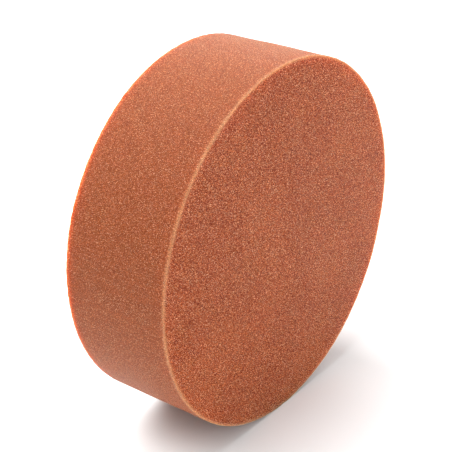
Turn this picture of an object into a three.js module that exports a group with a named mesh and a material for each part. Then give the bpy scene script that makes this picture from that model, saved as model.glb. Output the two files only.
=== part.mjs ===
// Foam polishing pad with a hook-and-loop back, standing on its edge.
// Millimetres, +Z up. The pad's axis lies along Y: the working face looks to -Y, the loop back to +Y.
// The origin is at the middle of the pad's thickness, on the surface that its edge stands on.

import * as THREE from "three";

// Driving dimensions, in millimetres.
const PAD_DIAMETER = 160;
const FOAM_THICKNESS = 50;
const FILM_DIAMETER = 149;
const FILM_THICKNESS = 0.3;
const LOOP_DIAMETER = 150;
const LOOP_THICKNESS = 2.2;

// Eased edges: the foam is cut nearly sharp, and the cut edge of the loop fabric is a little softer.
const FOAM_EDGE = 0.5;
const FILM_EDGE = 0.05;
const LOOP_EDGE = 0.6;

// A flat facet of each round side faces straight down, so the pad stands on its edge.
// Across two opposite facets the pad measures its full diameter.
const FACETS = 64;
const EDGE_STEPS = 2;

// The stack along +Y, from the working face to the tips of the loops.
const TOTAL_THICKNESS = FOAM_THICKNESS + FILM_THICKNESS + LOOP_THICKNESS;
const WORKING_FACE_Y = -TOTAL_THICKNESS / 2;
const FILM_Y = WORKING_FACE_Y + FOAM_THICKNESS;
const LOOP_Y = FILM_Y + FILM_THICKNESS;
const AXIS_HEIGHT = PAD_DIAMETER / 2;

const foamMaterial = new THREE.MeshStandardMaterial({ color: 0xc4714e, roughness: 0.95, metalness: 0 });
const filmMaterial = new THREE.MeshStandardMaterial({ color: 0xc6bca6, roughness: 0.45, metalness: 0 });
const loopMaterial = new THREE.MeshStandardMaterial({ color: 0xb0ada7, roughness: 0.9, metalness: 0 });

// A disc about the Y axis from y = 0 to y = thickness, with both rims rounded by a quarter circle.
// The half profile starts and ends on the axis, so the turned surface is closed.
function roundedDisc(diameter, thickness, edge) {
  const flatRadius = diameter / 2 / Math.cos(Math.PI / FACETS);
  const innerRadius = flatRadius - edge;
  const profile = [new THREE.Vector2(0, 0)];
  for (let step = 0; step <= EDGE_STEPS; step += 1) {
    const angle = ((step / EDGE_STEPS) * Math.PI) / 2;
    profile.push(new THREE.Vector2(innerRadius + edge * Math.sin(angle), edge - edge * Math.cos(angle)));
  }
  for (let step = 0; step <= EDGE_STEPS; step += 1) {
    const angle = ((step / EDGE_STEPS) * Math.PI) / 2;
    const y = thickness - edge + edge * Math.sin(angle);
    profile.push(new THREE.Vector2(innerRadius + edge * Math.cos(angle), y));
  }
  profile.push(new THREE.Vector2(0, thickness));
  return new THREE.LatheGeometry(profile, FACETS, Math.PI / FACETS);
}

function disc(name, diameter, thickness, edge, startY, material) {
  const mesh = new THREE.Mesh(roundedDisc(diameter, thickness, edge), material);
  mesh.name = name;
  mesh.position.set(0, startY, AXIS_HEIGHT);
  return mesh;
}

// The open-cell foam body, which polishes with its whole flat front.
function foamPad() {
  return disc("foam_pad", PAD_DIAMETER, FOAM_THICKNESS, FOAM_EDGE, WORKING_FACE_Y, foamMaterial);
}

// The hot-melt film that bonds the loop fabric to the back of the foam.
function adhesiveFilm() {
  return disc("adhesive_film", FILM_DIAMETER, FILM_THICKNESS, FILM_EDGE, FILM_Y, filmMaterial);
}

// The loop fabric: its ground knit and its pile of loops, which the hooks of a backing plate grip.
function loopBacking() {
  return disc("loop_backing", LOOP_DIAMETER, LOOP_THICKNESS, LOOP_EDGE, LOOP_Y, loopMaterial);
}

const polishingPad = new THREE.Group();
polishingPad.add(foamPad(), adhesiveFilm(), loopBacking());

export default polishingPad;
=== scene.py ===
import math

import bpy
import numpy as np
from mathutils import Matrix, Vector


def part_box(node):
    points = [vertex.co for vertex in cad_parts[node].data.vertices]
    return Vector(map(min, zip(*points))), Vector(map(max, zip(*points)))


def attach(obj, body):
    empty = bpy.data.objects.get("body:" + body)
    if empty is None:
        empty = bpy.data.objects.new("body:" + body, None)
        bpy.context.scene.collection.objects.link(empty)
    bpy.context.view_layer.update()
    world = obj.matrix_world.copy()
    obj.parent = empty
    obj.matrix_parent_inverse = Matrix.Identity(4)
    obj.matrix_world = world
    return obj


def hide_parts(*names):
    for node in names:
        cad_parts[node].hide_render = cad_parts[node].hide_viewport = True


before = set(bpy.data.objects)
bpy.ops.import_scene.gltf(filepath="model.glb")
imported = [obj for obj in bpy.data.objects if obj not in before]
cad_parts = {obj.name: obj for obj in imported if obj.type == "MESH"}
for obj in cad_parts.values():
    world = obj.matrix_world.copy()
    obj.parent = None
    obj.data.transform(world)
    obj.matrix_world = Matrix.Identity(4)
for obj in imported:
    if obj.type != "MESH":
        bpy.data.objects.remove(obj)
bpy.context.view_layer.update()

# %% [markdown]
# # A foam polishing pad
# The real pad is a thick round block of fine open-cell foam, with a disc of loop fabric bonded to
# its back so that it presses onto the hooks of a polisher's backing plate. It stands here on its
# edge. The frame gives every place: its axis lies along Y, the working face looks to -Y, the loop
# fabric to +Y, and the floor is at z = 0. All lengths in this script are in metres unless a name
# says otherwise.

MM = 0.001
foam_low, foam_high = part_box("foam_pad")
film_low, film_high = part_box("adhesive_film")
loop_low, loop_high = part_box("loop_backing")

FOAM_RADIUS = (foam_high.x - foam_low.x) / 2
FILM_RADIUS = (film_high.x - film_low.x) / 2
LOOP_RADIUS = (loop_high.x - loop_low.x) / 2
AXIS_HEIGHT = (foam_low.z + foam_high.z) / 2
FRONT_Y, BACK_Y = foam_low.y, foam_high.y
print(f"foam {2 * FOAM_RADIUS:.3f} m across and {BACK_Y - FRONT_Y:.3f} m thick")

# %% [markdown]
# ## The camera
# The camera comes first, so that everything after it can be judged in the final picture. A long
# lens from half a metre away keeps the two round faces nearly parallel, as in a catalogue.
# The aim point is a little left of the pad's centre and a little above it.

# %% Camera
CAMERA_AZIMUTH = math.radians(-53.3)
CAMERA_ELEVATION = math.radians(26.1)
CAMERA_DISTANCE = 0.50825
CAMERA_LENS_MM = 94.35
AIM_RIGHT, AIM_UP = -5.7 * MM, 1.15 * MM


def direction(azimuth, elevation):
    """Unit vector from the pad towards a viewer. Azimuth 0 is -Y and turns towards +X."""
    level = math.cos(elevation)
    return Vector((math.sin(azimuth) * level, -math.cos(azimuth) * level, math.sin(elevation)))


foam_centre = Vector((0, (FRONT_Y + BACK_Y) / 2, AXIS_HEIGHT))
back = direction(CAMERA_AZIMUTH, CAMERA_ELEVATION)
right = Vector((0, 0, 1)).cross(back).normalized()
aim = foam_centre + AIM_RIGHT * right + AIM_UP * back.cross(right)
camera = bpy.data.objects.new("camera", bpy.data.cameras.new("camera"))
camera.data.lens = CAMERA_LENS_MM
camera.location = foam_centre + CAMERA_DISTANCE * back
camera.rotation_euler = (camera.location - aim).to_track_quat("Z", "Y").to_euler()
bpy.context.scene.collection.objects.link(camera)
bpy.context.scene.camera = camera
print("camera at", tuple(round(v, 3) for v in camera.location))

# %% [markdown]
# ## Turning arrays into meshes
# Every new piece is a surface worked out with numpy: rows and columns of points, joined by
# four-sided faces. One function puts such arrays into a mesh. It also checks the winding with the
# signed volume, so the faces always point outwards.


# %% Mesh helpers
def make_piece(name, points, quads):
    """A mesh object from an (n, 3) array of points and an (m, 4) array of corner numbers.

    The signed volume is a sixth of the sum, over the triangles, of a . (b x c). If it is negative
    the faces point inwards, and every face's corners are reversed.
    """
    a, b, c, d = (points[quads[:, corner]] for corner in range(4))
    volume = np.einsum("ij,ij->", a, np.cross(b, c)) + np.einsum("ij,ij->", a, np.cross(c, d))
    if volume < 0:
        quads = quads[:, ::-1]
    mesh = bpy.data.meshes.new(name)
    mesh.vertices.add(len(points))
    mesh.vertices.foreach_set("co", points.astype(np.float32).ravel())
    mesh.loops.add(quads.size)
    mesh.loops.foreach_set("vertex_index", quads.astype(np.int32).ravel())
    mesh.polygons.add(len(quads))
    mesh.polygons.foreach_set("loop_start", np.arange(0, quads.size, 4, dtype=np.int32))
    mesh.polygons.foreach_set("use_smooth", np.full(len(quads), True))
    mesh.update()
    mesh.validate()
    piece = bpy.data.objects.new(name, mesh)
    bpy.context.scene.collection.objects.link(piece)
    print(f"{name}: {len(points)} points, {len(quads)} faces")
    return piece


def grid_quads(numbers):
    """Faces between neighbouring rows and columns of a 2-D array of point numbers."""
    here, right_of = numbers[:-1, :-1], numbers[:-1, 1:]
    above, across = numbers[1:, :-1], numbers[1:, 1:]
    return np.stack([here, right_of, across, above], axis=-1).reshape(-1, 4)


def waves(points, count, shortest, longest, seed):
    """Smooth noise, mostly between -1.5 and 1.5, at (n, 3) points, as a sum of plane waves.

    Each wave is the cosine of 2 pi x the distance along its own random direction / its wavelength,
    which is drawn between shortest and longest, plus a random phase. The sum is divided by the root
    of its count.
    """
    draw = np.random.default_rng(seed)
    way = draw.normal(size=(count, 3))
    way /= np.linalg.norm(way, axis=1, keepdims=True)
    turns = 2 * np.pi / draw.uniform(shortest, longest, count)
    phase = draw.uniform(0, 2 * np.pi, count)
    return np.cos(points @ (way * turns[:, None]).T + phase).sum(axis=1) / math.sqrt(count)


# %% [markdown]
# ## A drum without a pinched centre
# A lathe would crowd its points at the middle of each round face. Here each face is a square grid
# mapped onto a disc instead, with points evenly spread all over, and the side wall is a strip of
# rings that starts at the first grid's border and ends at the second's.


# %% Disc grid and drum
def disc_grid(steps):
    """A square grid of (steps + 1) x (steps + 1) points mapped onto the unit disc.

    With u and v from -1 to 1, the larger of them is the radius, and the smaller divided by the
    larger is the angle, as a share of an eighth of a turn each way. Squares become rings.
    """
    u, v = np.meshgrid(np.linspace(-1, 1, steps + 1), np.linspace(-1, 1, steps + 1), indexing="ij")
    along_u = np.abs(u) >= np.abs(v)
    radius = np.where(along_u, u, v)
    safe = np.where(radius == 0, 1, radius)
    angle = np.where(along_u, v / safe, 2 - u / safe) * np.pi / 4
    return radius * np.cos(angle), radius * np.sin(angle)


def border(numbers):
    """The border of a square array of point numbers, anticlockwise from the corner (1, -1)."""
    return np.concatenate([
        numbers[-1, :-1], numbers[:0:-1, -1], numbers[0, :0:-1], numbers[:-1, 0],
    ])


def drum(profile, steps, centre_height):
    """Points and faces of a closed drum about the Y axis, from its half profile.

    The profile is an (n, 2) array of radius and y. Its first and last points are the rims of the
    two flat faces, which are filled with disc grids, and the points between them are rings.
    """
    disc_x, disc_z = disc_grid(steps)
    side = (steps + 1) ** 2
    front = np.arange(side).reshape(steps + 1, steps + 1)
    rim = border(front)
    rim_angle = np.arctan2(disc_z.ravel()[rim], disc_x.ravel()[rim])
    rings = profile[1:-1]
    ring_points = np.stack([
        rings[:, :1] * np.cos(rim_angle),
        np.repeat(rings[:, 1:], len(rim), axis=1),
        rings[:, :1] * np.sin(rim_angle),
    ], axis=-1).reshape(-1, 3)
    faces = []
    for radius, y in (profile[0], profile[-1]):
        flat = np.stack([radius * disc_x, np.full_like(disc_x, y), radius * disc_z], axis=-1)
        faces.append(flat.reshape(-1, 3))
    points = np.concatenate([faces[0], ring_points, faces[1]])
    first_ring = side + np.arange(len(rings) * len(rim)).reshape(len(rings), len(rim))
    back_start = side + len(ring_points)
    strip = np.vstack([rim, first_ring, rim + back_start])
    strip = np.hstack([strip, strip[:, :1]])
    quads = np.concatenate([
        grid_quads(front)[:, ::-1], grid_quads(strip)[:, ::-1], grid_quads(front + back_start),
    ])
    points[:, 2] += centre_height
    return points, quads


# %% [markdown]
# ## The foam block
# The real block is cut from foam, so its edges are nearly sharp and its faces are flat only to a
# fraction of a millimetre. The drum is pushed in, against its own way out, by slow waves and
# middle-sized ones all over, and by short ones close to its two rims, which leave them a little
# ragged. The soft block is also taken to flatten slightly where it stands. A cloth simulation would
# look for seams and sag, and a cut block has neither.

# %% Foam block
FOAM_STEPS = 160
EDGE_RADIUS = 0.35 * MM
EDGE_POINTS = 5
WALL_SPACING = 0.85 * MM
SLOW_DEPTH, MIDDLE_DEPTH, RIM_DEPTH = 0.10 * MM, 0.02 * MM, 0.07 * MM
RIM_REACH = 0.9 * MM
SETTLING = 0.12 * MM


def rounded_profile(radius, front_y, back_y, edge, edge_points, spacing):
    """Radius and y along a half profile: a quarter circle, a straight side, a quarter circle."""
    turn = np.linspace(0, np.pi / 2, edge_points)
    near = np.stack([radius - edge + edge * np.sin(turn), front_y + edge - edge * np.cos(turn)], 1)
    far = np.stack([radius - edge + edge * np.cos(turn), back_y - edge + edge * np.sin(turn)], 1)
    count = max(1, round((back_y - front_y - 2 * edge) / spacing))
    side_y = np.linspace(front_y + edge, back_y - edge, count + 1)[1:-1]
    side = np.stack([np.full_like(side_y, radius), side_y], 1)
    return np.concatenate([near, side, far])


def way_out(points, radius, front_y, back_y, edge):
    """Unit vectors from the nearest place on a smaller core drum to each point of a rounded drum."""
    height = points[:, 2] - AXIS_HEIGHT
    spread = np.hypot(points[:, 0], height)
    share = np.minimum(spread, radius - edge) / np.maximum(spread, 1e-9)
    core_y = np.clip(points[:, 1], front_y + edge, back_y - edge)
    core = np.stack([points[:, 0] * share, core_y, height * share + AXIS_HEIGHT], 1)
    out = points - core
    return out / np.linalg.norm(out, axis=1, keepdims=True)


def rim_nearness(points):
    """1 on the foam's two rims, falling to 0 at RIM_REACH away along a face or the side."""
    spread = np.hypot(points[:, 0], points[:, 2] - AXIS_HEIGHT)
    from_end = np.minimum(points[:, 1] - FRONT_Y, BACK_Y - points[:, 1])
    return np.clip(1 - np.hypot(FOAM_RADIUS - spread, from_end) / RIM_REACH, 0, 1)


profile = rounded_profile(FOAM_RADIUS, FRONT_Y, BACK_Y, EDGE_RADIUS, EDGE_POINTS, WALL_SPACING)
foam_points, foam_quads = drum(profile, FOAM_STEPS, AXIS_HEIGHT)
slow = waves(foam_points, count=24, shortest=25 * MM, longest=70 * MM, seed=1)
middle = waves(foam_points, count=48, shortest=4 * MM, longest=9 * MM, seed=2)
short = waves(foam_points, count=64, shortest=2 * MM, longest=5 * MM, seed=3)
depth = SLOW_DEPTH * (1 + slow).clip(0) + MIDDLE_DEPTH * (1 + middle).clip(0)
depth += RIM_DEPTH * rim_nearness(foam_points) * (1 + short).clip(0)
foam_points -= depth[:, None] * way_out(foam_points, FOAM_RADIUS, FRONT_Y, BACK_Y, EDGE_RADIUS)
foam_points[:, 2] = np.maximum(foam_points[:, 2] - SETTLING, 0)
foam = make_piece("foam_block", foam_points, foam_quads)
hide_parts("foam_pad")
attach(foam, "root")
print(f"deepest dent {depth.max() / MM:.2f} mm")

# %% [markdown]
# ## Wires for shader maths
# A material is a chain of small steps. One class wraps a socket, so that a step on numbers is
# written as plain arithmetic, and its node method adds any other kind of node.


# %% Wire class
class Wire:
    """A socket in a material's node tree. Arithmetic on wires adds Math nodes."""

    def __init__(self, tree, socket=None):
        self.tree = tree
        self.socket = socket

    def node(self, kind, settings=None, inputs=None, output=0):
        """Adds a node of this kind, sets its settings, fills its inputs, and gives one output.

        An input is a number, a tuple or another wire. Settings named "stops" are a ramp's
        positions with their colours.
        """
        made = self.tree.nodes.new(kind)
        for name, value in (settings or {}).items():
            if name == "stops":
                ramp = made.color_ramp.elements
                for place, (position, colour) in enumerate(value):
                    stop = ramp[place] if place < 2 else ramp.new(position)
                    stop.position = position
                    stop.color = colour
            else:
                setattr(made, name, value)
        for name, value in (inputs or {}).items():
            if isinstance(value, Wire):
                self.tree.links.new(value.socket, made.inputs[name])
            else:
                made.inputs[name].default_value = value
        return Wire(self.tree, made.outputs[output])

    def beside(self, name):
        """Another output of the node that this wire comes from."""
        return Wire(self.tree, self.socket.node.outputs[name])

    def math(self, operation, *values):
        """A Math node on this list of numbers or wires."""
        return self.node("ShaderNodeMath", {"operation": operation}, dict(enumerate(values)))

    def __add__(self, other):
        return self.math("ADD", self, other)

    def __mul__(self, other):
        return self.math("MULTIPLY", self, other)

    def __sub__(self, other):
        return self.math("SUBTRACT", self, other)

    def __rsub__(self, other):
        return self.math("SUBTRACT", other, self)

    def __truediv__(self, other):
        return self.math("DIVIDE", self, other)

    def __pow__(self, other):
        return self.math("POWER", self, other)

    __radd__ = __add__
    __rmul__ = __mul__

    def smooth(self, low, high):
        """0 below low, 1 above high, and an S-shaped rise between them. With low above high it falls."""
        settings = {"interpolation_type": "SMOOTHSTEP"}
        inputs = {"Value": self, "From Min": low, "From Max": high}
        return self.node("ShaderNodeMapRange", settings, inputs)

    def parts(self):
        """The X, Y and Z of a vector, as three wires."""
        split = self.node("ShaderNodeSeparateXYZ", None, {"Vector": self})
        return [split.beside(axis) for axis in "XYZ"]

    def mix(self, first, second):
        """A colour between two others, by this wire as the factor."""
        settings = {"data_type": "RGBA"}
        return self.node("ShaderNodeMix", settings, {0: self, 6: first, 7: second}, output=2)


def new_finish(name, piece):
    """A material on a piece, and the wire that starts its tree."""
    material = bpy.data.materials.new(name)
    material.use_nodes = True
    material.node_tree.nodes.clear()
    piece.data.materials.clear()
    piece.data.materials.append(material)
    print(f"finish {name} on {piece.name}")
    return Wire(material.node_tree)


def place_in_mm(start):
    """Where a shaded point lies in its piece's own space, in millimetres."""
    place = start.node("ShaderNodeTexCoord", output="Object")
    scale = (1 / MM, 1 / MM, 1 / MM)
    return start.node("ShaderNodeMapping", None, {"Vector": place, "Scale": scale})


def finish_surface(start, colour, roughness, normal=None, **constants):
    """A Principled surface with these wires, and constant values on its other sockets."""
    inputs = {"Base Color": colour, "Roughness": roughness}
    if normal is not None:
        inputs["Normal"] = normal
    inputs.update({name.replace("_", " "): value for name, value in constants.items()})
    surface = start.node("ShaderNodeBsdfPrincipled", None, inputs)
    output = start.tree.nodes.new("ShaderNodeOutputMaterial")
    start.tree.links.new(surface.socket, output.inputs["Surface"])


# %% [markdown]
# ## The foam's finish
# Polishing foam is a mass of open cells, taken here as half a millimetre across. A cut face shows
# the cell walls as a net of pale strands round small dark pits, and here and there a flat scrap of
# skin catches the light; those glints are painted into the colour as pale spots. Modelling each cell
# would take millions of faces, and a flat texture wrapped round the pad would stretch or show a seam,
# so two Voronoi textures draw the cells in solid space instead: the distance to the nearest wall gives
# the strands, a finer one breaks them up, and about one fine cell in eight is a raised scrap. Light is
# taken to travel through the strands, blue for about 4 millimetres and red for about 14, so the
# surface has subsurface scattering and the lit rim glows.

# %% Foam cells
# Lengths are in millimetres. A shape drawn by smooth(fade, full) is absent at the first distance
# and full at the second, both counted in cells.
CELL = 0.50
FINE_CELL = CELL / 1.7
STRAND_WEIGHT, NUB_WEIGHT, SCRAP_WEIGHT = 0.45, 0.40, 0.60
start = new_finish("foam", foam)
millimetres = place_in_mm(start)
cell_walls = start.node("ShaderNodeTexVoronoi", {"feature": "DISTANCE_TO_EDGE"},
                        {"Vector": millimetres, "Scale": 1 / CELL})
fine_cells = start.node("ShaderNodeTexVoronoi", {"feature": "F1"},
                        {"Vector": millimetres, "Scale": 1 / FINE_CELL})
luck = start.node("ShaderNodeSeparateColor", None, {"Color": fine_cells.beside("Color")})
strand = cell_walls.smooth(0.24, 0.03)
nub = fine_cells.smooth(0.7, 0.1)
raised_scrap = luck.smooth(0.80, 0.95) * fine_cells.smooth(0.55, 0.15)
grain = STRAND_WEIGHT * strand + NUB_WEIGHT * nub + SCRAP_WEIGHT * raised_scrap
print(f"cells of {CELL} mm and {FINE_CELL:.2f} mm")

# %% [markdown]
# ## Where on the pad a point lies
# The side wall is smoother and more even than the face, as if its nap lay flatter, and it carries
# painted shade that makes it darker than the face. The rim of the working face carries a paler line
# of painted light, where the strands at the edge are lit from two sides. Both could be painted by hand
# on a texture, but here they are masks worked out from the point's own place: its distance from the
# axis, and how far it is from the two faces.

# %% Foam masks
WALL_FADE, WALL_FULL = 0.6, 1.6
RIM_FADE, RIM_FULL = 2.0, 0.2
across, along, up = millimetres.parts()
height = up - AXIS_HEIGHT / MM
from_side = FOAM_RADIUS / MM - (across * across + height * height) ** 0.5
from_front = along - FRONT_Y / MM
from_face = start.math("MINIMUM", from_front, BACK_Y / MM - along)
from_rim = (from_side * from_side + from_front * from_front) ** 0.5
on_wall = from_face.smooth(WALL_FADE, WALL_FULL)
on_rim = from_rim.smooth(RIM_FADE, RIM_FULL)
print(f"the side wall's look starts {WALL_FADE} mm from a face, the rim's line reaches {RIM_FADE} mm")

# %% [markdown]
# Light bounces many times between the walls of a pit, and each bounce takes away more blue than
# red. So the pits look deep red-brown, the strands orange and only their crests pale. A colour ramp
# over the grain says just that, with three stops.

# %% Foam surface
PIT, STRAND, CREST = (0.10, 0.006, 0.001, 1), (0.58, 0.119, 0.021, 1), (1.0, 0.59, 0.33, 1)
# The side wall colour is partly a flatter nap and partly painted shade; the scrap colour is a painted
# glint, used less on the wall; the pale rim colour is painted light.
WALL_NAP_AND_SHADE, SCRAP_GLINT, PAINTED_RIM_LIGHT = (0.22, 0.072, 0.027, 1), (1.0, 0.70, 0.48, 1), (0.42, 0.28, 0.15, 1)
WALL_NAP_AND_SHADE_SHARE, SCRAP_GLINT_SHARE, PAINTED_RIM_LIGHT_SHARE = 0.46, 0.5, 0.4
GLINT_LOST_ON_WALL = 0.6
FOAM_ROUGHNESS = 0.5
# Painted glints: pale spots on a few fine cells, with fewer of them on the side wall.
painted_glint = luck.smooth(0.86, 0.94) * fine_cells.smooth(0.5, 0.15) * (1 - GLINT_LOST_ON_WALL * on_wall)
depth_colours = {"stops": ((0.36, PIT), (0.62, STRAND), (0.92, CREST))}
foam_colour = start.node("ShaderNodeValToRGB", depth_colours, {"Fac": grain})
# Painted shade on the side wall, which also evens out its grain like a flatter nap.
foam_colour = (WALL_NAP_AND_SHADE_SHARE * on_wall).mix(foam_colour, WALL_NAP_AND_SHADE)
# Painted glints on a few fine cells.
foam_colour = (SCRAP_GLINT_SHARE * painted_glint).mix(foam_colour, SCRAP_GLINT)
# Painted light along the rim of the working face.
foam_colour = (PAINTED_RIM_LIGHT_SHARE * on_rim).mix(foam_colour, PAINTED_RIM_LIGHT)
bump = start.node("ShaderNodeBump", None, {"Height": grain, "Distance": 0.12 * MM})
finish_surface(start, foam_colour, FOAM_ROUGHNESS, bump, Subsurface_Weight=1.0, Subsurface_Scale=0.014,
               Subsurface_Radius=(1.0, 0.45, 0.3), Specular_IOR_Level=0.08)

# %% [markdown]
# ## The bonding film
# The fabric is laminated to the foam with a thin hot-melt film. Pressed while soft, it creeps out
# past the fabric's cut edge here and there, and that uneven, slightly glossy line is all that shows
# of it. A torn-looking line could be painted on the foam, but a real sheet with a wandering rim
# catches the light and casts the thin shadow that a bond has.


# %% A sheet with a wandering rim
SHEET_EDGE_POINTS = 4


def wandering_sheet(radius, low_y, high_y, edge, spacing, steps, wander, seed):
    """A round sheet whose rim moves in and out, as points and faces.

    Each point's distance from the axis is multiplied by 1 + wander / radius x (the sum of waves at
    that point) x the fourth power of its own share of the radius, so only the rim wanders.
    """
    outline = rounded_profile(radius, low_y, high_y, edge, SHEET_EDGE_POINTS, spacing)
    points, quads = drum(outline, steps, AXIS_HEIGHT)
    height = points[:, 2] - AXIS_HEIGHT
    share = np.hypot(points[:, 0], height) / radius
    flat = points * [1, 0, 1]
    wave = waves(flat, count=40, shortest=5 * MM, longest=30 * MM, seed=seed)
    stretch = 1 + wander / radius * wave * share ** 4
    points[:, 0] *= stretch
    points[:, 2] = AXIS_HEIGHT + height * stretch
    return points, quads


# %% Bonding film
SQUEEZED_OUT = 1.3 * MM
film = make_piece("bonding_film", *wandering_sheet(
    FILM_RADIUS + SQUEEZED_OUT, film_low.y, film_high.y,
    edge=0.12 * MM, spacing=1 * MM, steps=110, wander=0.35 * MM, seed=4))
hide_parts("adhesive_film")
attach(film, "root")

# %% [markdown]
# Set hot melt is milky and a little yellow, thicker and clearer in beads, and shinier than cloth.
# Two noises do: a slow one for the milkiness, and a faster one for the beads. Both go into the bump,
# and the beads also change the roughness.

# %% Bonding film finish
FILM_CLEAR, FILM_MILKY = (0.36, 0.29, 0.17, 1), (0.56, 0.50, 0.38, 1)
start = new_finish("bonding_film", film)
place = start.node("ShaderNodeTexCoord", output="Object")
milky = start.node("ShaderNodeTexNoise", {"noise_dimensions": "3D"},
                   {"Vector": place, "Scale": 300, "Detail": 3})
beads = start.node("ShaderNodeTexNoise", None, {"Vector": place, "Scale": 1400, "Detail": 2})
film_colour = milky.smooth(0.3, 0.7).mix(FILM_CLEAR, FILM_MILKY)
bump = start.node("ShaderNodeBump", None, {"Height": beads + milky, "Distance": 0.15 * MM})
finish_surface(start, film_colour, 0.22 + 0.2 * beads, bump, Subsurface_Weight=0.5,
               Subsurface_Scale=0.001, Coat_Weight=0.3, Coat_Roughness=0.2)

# %% [markdown]
# ## The ground of the loop fabric
# The backing is a warp knit: a close ground of small V-shaped stitches in columns, with a pile of
# open loops standing on it. The disc is die-cut, so its rim is clean but never a perfect circle.
# The stitches are far smaller than the ground's faces, so they are a formula in its bump: across a
# column the yarn is a rounded ridge, and along it the stitches repeat, each half leaning the other
# way, which draws the V. The same formula paints shade into the colour, darker in the gaps between
# ridges and stitches.

# %% Knit ground
GROUND_THICKNESS = 0.75 * MM
ground_top = loop_low.y + GROUND_THICKNESS
ground = make_piece("knit_ground", *wandering_sheet(
    LOOP_RADIUS, loop_low.y, ground_top,
    edge=0.25 * MM, spacing=0.3 * MM, steps=130, wander=0.10 * MM, seed=5))
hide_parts("loop_backing")
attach(ground, "root")

# %% Knit ground finish
# The width of a column and the height of a stitch are in millimetres.
COLUMN, STITCH = 2.0, 0.97
STITCH_SHARE, SOILED_SHARE = 0.3, 0.35
GAP_SHADE_GREY, RIDGE_GREY = (0.11, 0.105, 0.095, 1), (0.34, 0.33, 0.31, 1)
SOILED_GREY = (0.22, 0.20, 0.165, 1)
start = new_finish("knit_ground", ground)
millimetres = place_in_mm(start)
across, _, up = millimetres.parts()
column = start.math("FRACT", across / COLUMN)
lean = start.math("ABSOLUTE", column - 0.5) * 2
ridge = start.math("ABSOLUTE", start.math("COSINE", column * math.pi))
stitch = start.math("COSINE", (up / STITCH + 0.5 * lean) * (2 * math.pi))
soiled = start.node("ShaderNodeTexNoise", None, {"Vector": millimetres, "Scale": 0.12, "Detail": 4})
knit = ridge * (1 - STITCH_SHARE + STITCH_SHARE * stitch)
# Painted shade: the gaps between ridges and stitches are coloured darker than the ridges.
ground_colour = knit.smooth(0.0, 0.7).mix(GAP_SHADE_GREY, RIDGE_GREY)
ground_colour = (SOILED_SHARE * soiled.smooth(0.35, 0.75)).mix(ground_colour, SOILED_GREY)
bump = start.node("ShaderNodeBump", None, {"Height": knit, "Distance": 0.25 * MM})
finish_surface(start, ground_colour, 0.75, bump, Sheen_Weight=0.25, Sheen_Roughness=0.5)

# %% [markdown]
# ## The loop pile
# The loops are what the plate's hooks hold. Particle hair could make them, but hair has no loops
# and no mesh of its own, so every loop is a short arch of yarn worked out with numpy: a path up and
# over between two feet, leaning a little and turned its own way, with a four-sided tube carried
# along it. All the loops are computed together, as one array with a row for each loop. Odd and even
# rows are two pieces, so that neither has too many faces.


# %% Tubes along many paths at once
def tubes(paths, radius, sides=4):
    """Closed tubes along an (n, steps, 3) array of paths, as points and four-sided faces.

    At each step the ring is centre + radius x (cos(angle) x side + sin(angle) x up), where side is
    at right angles to the path and as near as can be to the path's own sideways direction.
    """
    forward = np.gradient(paths, axis=1)
    forward /= np.linalg.norm(forward, axis=2, keepdims=True)
    chord = paths[:, -1] - paths[:, 0]
    sideways = np.cross(chord, [0, 1, 0])[:, None, :]
    sideways = sideways - (forward * sideways).sum(axis=2, keepdims=True) * forward
    sideways /= np.linalg.norm(sideways, axis=2, keepdims=True)
    upwards = np.cross(forward, sideways)
    angle = 2 * np.pi * (np.arange(sides) + 0.5) / sides
    cosine, sine = np.cos(angle)[:, None], np.sin(angle)[:, None]
    ring = cosine * sideways[:, :, None] + sine * upwards[:, :, None]
    thickness = np.broadcast_to(radius, paths.shape[:2])[:, :, None, None]
    points = paths[:, :, None] + thickness * ring
    numbers = np.arange(points.size // 3).reshape(points.shape[:3])
    beside = np.roll(numbers, -1, axis=2)
    walls = np.stack([numbers[:, :-1], beside[:, :-1], beside[:, 1:], numbers[:, 1:]], axis=-1)
    caps = np.concatenate([numbers[:, 0, ::-1], numbers[:, -1]])
    return points.reshape(-1, 3), np.concatenate([walls.reshape(-1, 4), caps])


# %% Loop pile
LOOP_PITCH_X, LOOP_PITCH_Z = COLUMN * MM, STITCH * MM
PILE_RADIUS = LOOP_RADIUS - 1.1 * MM
YARN_RADIUS = 0.10 * MM
ROOT_DEPTH = 0.15 * MM
ARCH_STEPS = 6


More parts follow.
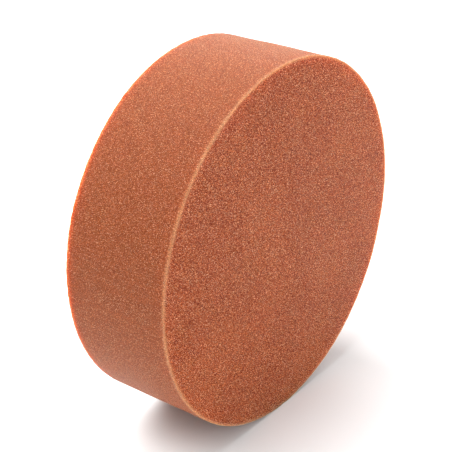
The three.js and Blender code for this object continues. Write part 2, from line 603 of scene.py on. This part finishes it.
def loop_paths(draw):
    """The paths of all the loops, and the number of the row that each stands in.

    Along the arch an angle runs from 0 to 180 degrees. A point is half the width x cos(angle) along
    the loop's heading, the height x sin(angle) to the power 0.8 outwards, and lean x that to the side.
    """
    count_x, count_z = (int(PILE_RADIUS / pitch) for pitch in (LOOP_PITCH_X, LOOP_PITCH_Z))
    column, row = np.meshgrid(np.arange(-count_x, count_x + 1), np.arange(-count_z, count_z + 1))
    foot_x = column.ravel() * LOOP_PITCH_X + draw.uniform(-0.30, 0.30, column.size) * MM
    foot_z = row.ravel() * LOOP_PITCH_Z + draw.uniform(-0.40, 0.40, row.size) * MM
    inside = np.hypot(foot_x, foot_z) < PILE_RADIUS
    foot_x, foot_z, row = foot_x[inside], foot_z[inside], row.ravel()[inside]
    heading = np.pi / 2 + draw.normal(0, 0.7, len(row))
    half_width = draw.uniform(0.40, 0.60, len(row)) * MM
    height = draw.uniform(0.90, 1.28, len(row)) * MM + ROOT_DEPTH
    lean = draw.normal(0.15, 0.30, len(row))
    angle = np.linspace(0, np.pi, ARCH_STEPS)
    outward = height[:, None] * np.sin(angle) ** 0.8
    ahead = half_width[:, None] * np.cos(angle)
    aside = lean[:, None] * outward
    turn_cos, turn_sin = np.cos(heading)[:, None], np.sin(heading)[:, None]
    paths = np.stack([
        foot_x[:, None] + turn_cos * ahead - turn_sin * aside,
        ground_top - ROOT_DEPTH + outward,
        AXIS_HEIGHT + foot_z[:, None] + turn_sin * ahead + turn_cos * aside,
    ], axis=-1)
    return paths, row


all_loops, loop_row = loop_paths(np.random.default_rng(6))
pile = []
for name, parity in (("loop_pile_even_rows", 0), ("loop_pile_odd_rows", 1)):
    rows = make_piece(name, *tubes(all_loops[loop_row % 2 == parity], YARN_RADIUS))
    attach(rows, "root")
    pile.append(rows)
print(f"{len(all_loops)} loops")

# %% [markdown]
# ## Loose ends at the cut
# Where the die cuts through the yarns, a few ends spring free and stand out round the rim. They use
# the same tubes, on short paths that bend away from the rim and grow thinner towards their tips.

# %% Loose yarn ends
END_COUNT, END_STEPS = 260, 5
END_RADIUS, END_TAPER = 0.09, 0.06
draw = np.random.default_rng(7)
around = draw.uniform(0, 2 * np.pi, END_COUNT)
reach = draw.uniform(0.3, 1.3, END_COUNT) * MM
drift = draw.normal(0, 0.5, END_COUNT)
rise = draw.uniform(-0.2, 0.9, END_COUNT) * MM
share = np.linspace(0, 1, END_STEPS)
end_radius = LOOP_RADIUS - 0.5 * MM + (0.5 * MM + reach[:, None]) * share
end_angle = around[:, None] + drift[:, None] * reach[:, None] * share ** 2 / LOOP_RADIUS
end_y = ground_top - 0.3 * MM + rise[:, None] * share ** 2
end_paths = np.stack([
    end_radius * np.cos(end_angle), end_y, AXIS_HEIGHT + end_radius * np.sin(end_angle),
], axis=-1)
loose_ends = make_piece("loose_yarn_ends", *tubes(end_paths, (END_RADIUS - END_TAPER * share) * MM))
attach(loose_ends, "root")

# %% [markdown]
# The pile is taken to be pale nylon yarn with a soft lustre. Low down between the loops it carries
# painted shade: the colour rises from a dark root to a clean tip with the height above the ground, and
# a slow noise makes some tufts duller. The fine bump stands for the bundle of filaments in the yarn.

# %% Yarn finish
# The root colour is painted shade low down between the loops.
YARN_ROOT_SHADE, YARN_TIP, YARN_DULL = (0.09, 0.084, 0.074, 1), (0.56, 0.55, 0.52, 1), (0.30, 0.275, 0.235, 1)
TIP_HEIGHT, DULL_SHARE = 1.1, 0.3
start = new_finish("loop_yarn", pile[0])
for rows in (pile[1], loose_ends):
    rows.data.materials.clear()
    rows.data.materials.append(pile[0].data.materials[0])
millimetres = place_in_mm(start)
_, along, _ = millimetres.parts()
tuft = start.node("ShaderNodeTexNoise", None, {"Vector": millimetres, "Scale": 0.35, "Detail": 3})
filaments = start.node("ShaderNodeTexNoise", None, {"Vector": millimetres, "Scale": 14, "Detail": 2})
above_ground = along - ground_top / MM
# Painted shade: the yarn is darkest at the ground and lightens towards the tips.
yarn_colour = above_ground.smooth(0.0, TIP_HEIGHT).mix(YARN_ROOT_SHADE, YARN_TIP)
yarn_colour = (DULL_SHARE * tuft.smooth(0.45, 0.75)).mix(yarn_colour, YARN_DULL)
bump = start.node("ShaderNodeBump", None, {"Height": filaments, "Distance": 0.03 * MM})
finish_surface(start, yarn_colour, 0.55, bump, Sheen_Weight=0.3, Sheen_Roughness=0.4,
               Subsurface_Weight=0.3, Subsurface_Scale=0.0006)

# %% [markdown]
# ## Floor and light
# Small goods are often shown on a white sweep under big soft boxes. A wide flat floor, lit to pure
# white round the pad, does the same, and it keeps the soft shadow that shows where the pad stands.
# Three square area lights do the rest. The large key is high and behind, so it makes the top of the
# side wall pale and leaves the working face to softer light. A weaker one skims the rim from the
# right and behind, and a low fill in front opens the face, so that its cells show. A bright sky all
# round would be simpler, but it would flatten the two faces into one tone.

# %% Floor
FLOOR_REACH = 6
FLOOR_WHITE, FLOOR_ROUGHNESS = (0.84, 0.84, 0.84, 1), 0.9
turns = ((-1, -1), (1, -1), (1, 1), (-1, 1))
corners = [(x * FLOOR_REACH, y * FLOOR_REACH, 0) for x, y in turns]
floor_mesh = bpy.data.meshes.new("floor")
floor_mesh.from_pydata(corners, [], [(0, 1, 2, 3)])
floor = bpy.data.objects.new("floor", floor_mesh)
bpy.context.scene.collection.objects.link(floor)
finish_surface(new_finish("floor", floor), FLOOR_WHITE, FLOOR_ROUGHNESS)

# %% Sky and lights
SKY_STRENGTH = 0.68
LIGHT_DISTANCE = 1.5
world = bpy.data.worlds.new("studio")
bpy.context.scene.world = world
world.use_nodes = True
sky = world.node_tree.nodes["Background"]
sky.inputs["Color"].default_value = (1, 1, 1, 1)
sky.inputs["Strength"].default_value = SKY_STRENGTH


def soft_light(name, azimuth, elevation, size, watts):
    """A square area light that faces the pad's centre from a direction."""
    lamp = bpy.data.lights.new(name, "AREA")
    lamp.size, lamp.energy = size, watts
    light = bpy.data.objects.new(name, lamp)
    towards_light = direction(math.radians(azimuth), math.radians(elevation))
    light.location = foam_centre + LIGHT_DISTANCE * towards_light
    light.rotation_euler = (light.location - foam_centre).to_track_quat("Z", "Y").to_euler()
    bpy.context.scene.collection.objects.link(light)
    print(f"{name} light: {watts} W, {size} m wide")


soft_light("key", azimuth=-165, elevation=64, size=1.8, watts=57)
soft_light("rim", azimuth=127, elevation=25, size=1.0, watts=7)
soft_light("fill", azimuth=25, elevation=4, size=1.2, watts=16)
bpy.context.scene.view_settings.view_transform = "Standard"
